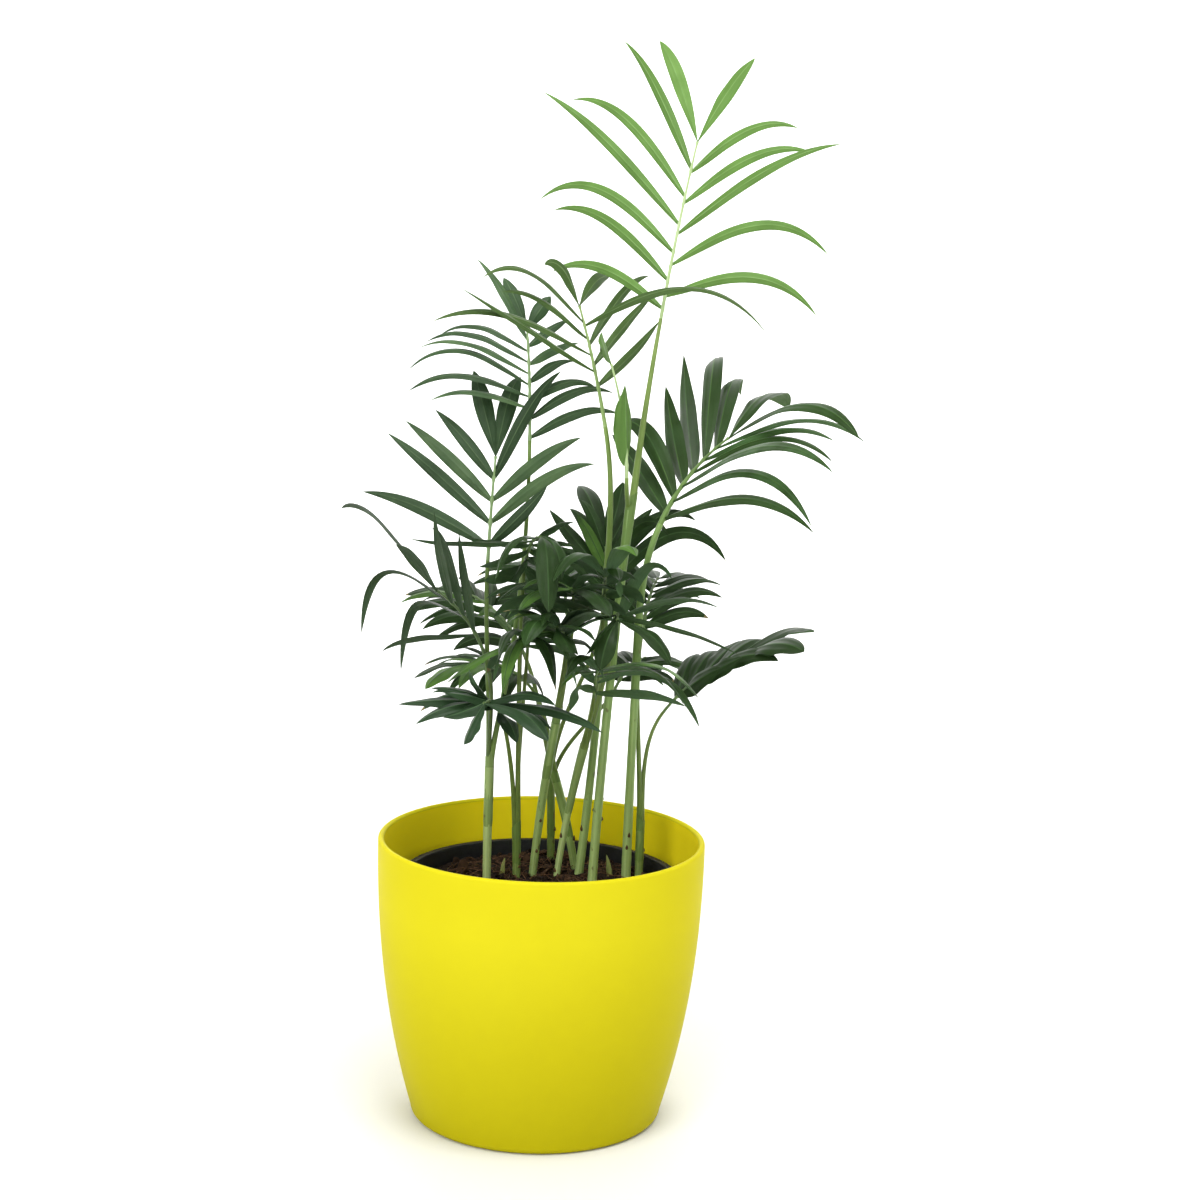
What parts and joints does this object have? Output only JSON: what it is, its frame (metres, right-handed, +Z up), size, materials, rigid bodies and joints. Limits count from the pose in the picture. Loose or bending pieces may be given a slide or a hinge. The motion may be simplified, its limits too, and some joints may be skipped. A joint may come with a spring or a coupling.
{
  "type": "parlour palm in a pot",
  "caption": "Clump of slim green canes with arching feather-shaped fronds, rooted in a round yellow planter with a dark inner pot.",
  "frame": {"origin": "centre of the planter's flat underside", "axes": "+Z up along the planter's axis, +X to the right and -Y to the front of the plant as it is seen"},
  "size_m": [0.2541, 0.2353, 0.525],
  "materials": {
    "planter": "satin lemon yellow, slightly greener low down",
    "nursery_pot": "black moulded pot with a rolled rim",
    "soil": "brown peat and coir with loose fibres",
    "stem": "green canes and leaf stalks, paler and scarred at the foot",
    "frond_dark": "dark green leaflets with a bluish sheen",
    "frond_mid": "mid green leaflets",
    "frond_light": "young bright green leaflets"
  },
  "bodies": {
    "root": {"planter": "planter", "nursery_pot": "nursery_pot", "soil": "soil", "stem_centre": "stem", "stem_centre_back": "stem", "stem_centre_right": "stem", "stem_far_right": "stem", "stem_left": "stem", "stem_left_centre": "stem", "stem_left_inner": "stem", "stem_right": "stem", "stem_right_back": "stem", "stem_right_inner": "stem", "shoot_left": "stem", "shoot_right": "stem", "stalk_back_centre": "stem", "stalk_back_left": "stem", "stalk_back_right": "stem", "stalk_centre_front": "stem", "stalk_far_left": "stem", "stalk_heart_back": "stem", "stalk_heart_front": "stem", "stalk_heart_left": "stem", "stalk_heart_mid": "stem", "stalk_heart_right": "stem", "stalk_left_high": "stem", "stalk_left_mid": "stem", "stalk_low_back": "stem", "stalk_low_centre": "stem", "stalk_low_hanging": "stem", "stalk_low_left": "stem", "stalk_low_middle": "stem", "stalk_low_right": "stem", "stalk_right": "stem", "stalk_top": "stem", "stalk_upper_left": "stem", "stalk_young": "stem", "frond_back_centre": "frond_dark", "frond_back_left": "frond_dark", "frond_back_right": "frond_dark", "frond_centre_front": "frond_dark", "frond_far_left": "frond_dark", "frond_heart_back": "frond_dark", "frond_heart_front": "frond_dark", "frond_heart_left": "frond_dark", "frond_heart_mid": "frond_dark", "frond_heart_right": "frond_dark", "frond_left_high": "frond_mid", "frond_left_mid": "frond_dark", "frond_low_back": "frond_dark", "frond_low_centre": "frond_dark", "frond_low_hanging": "frond_dark", "frond_low_left": "frond_dark", "frond_low_middle": "frond_dark", "frond_low_right": "frond_dark", "frond_right": "frond_mid", "frond_top": "frond_light", "frond_upper_left": "frond_mid", "frond_young": "frond_light"}
  },
  "joints": []
}
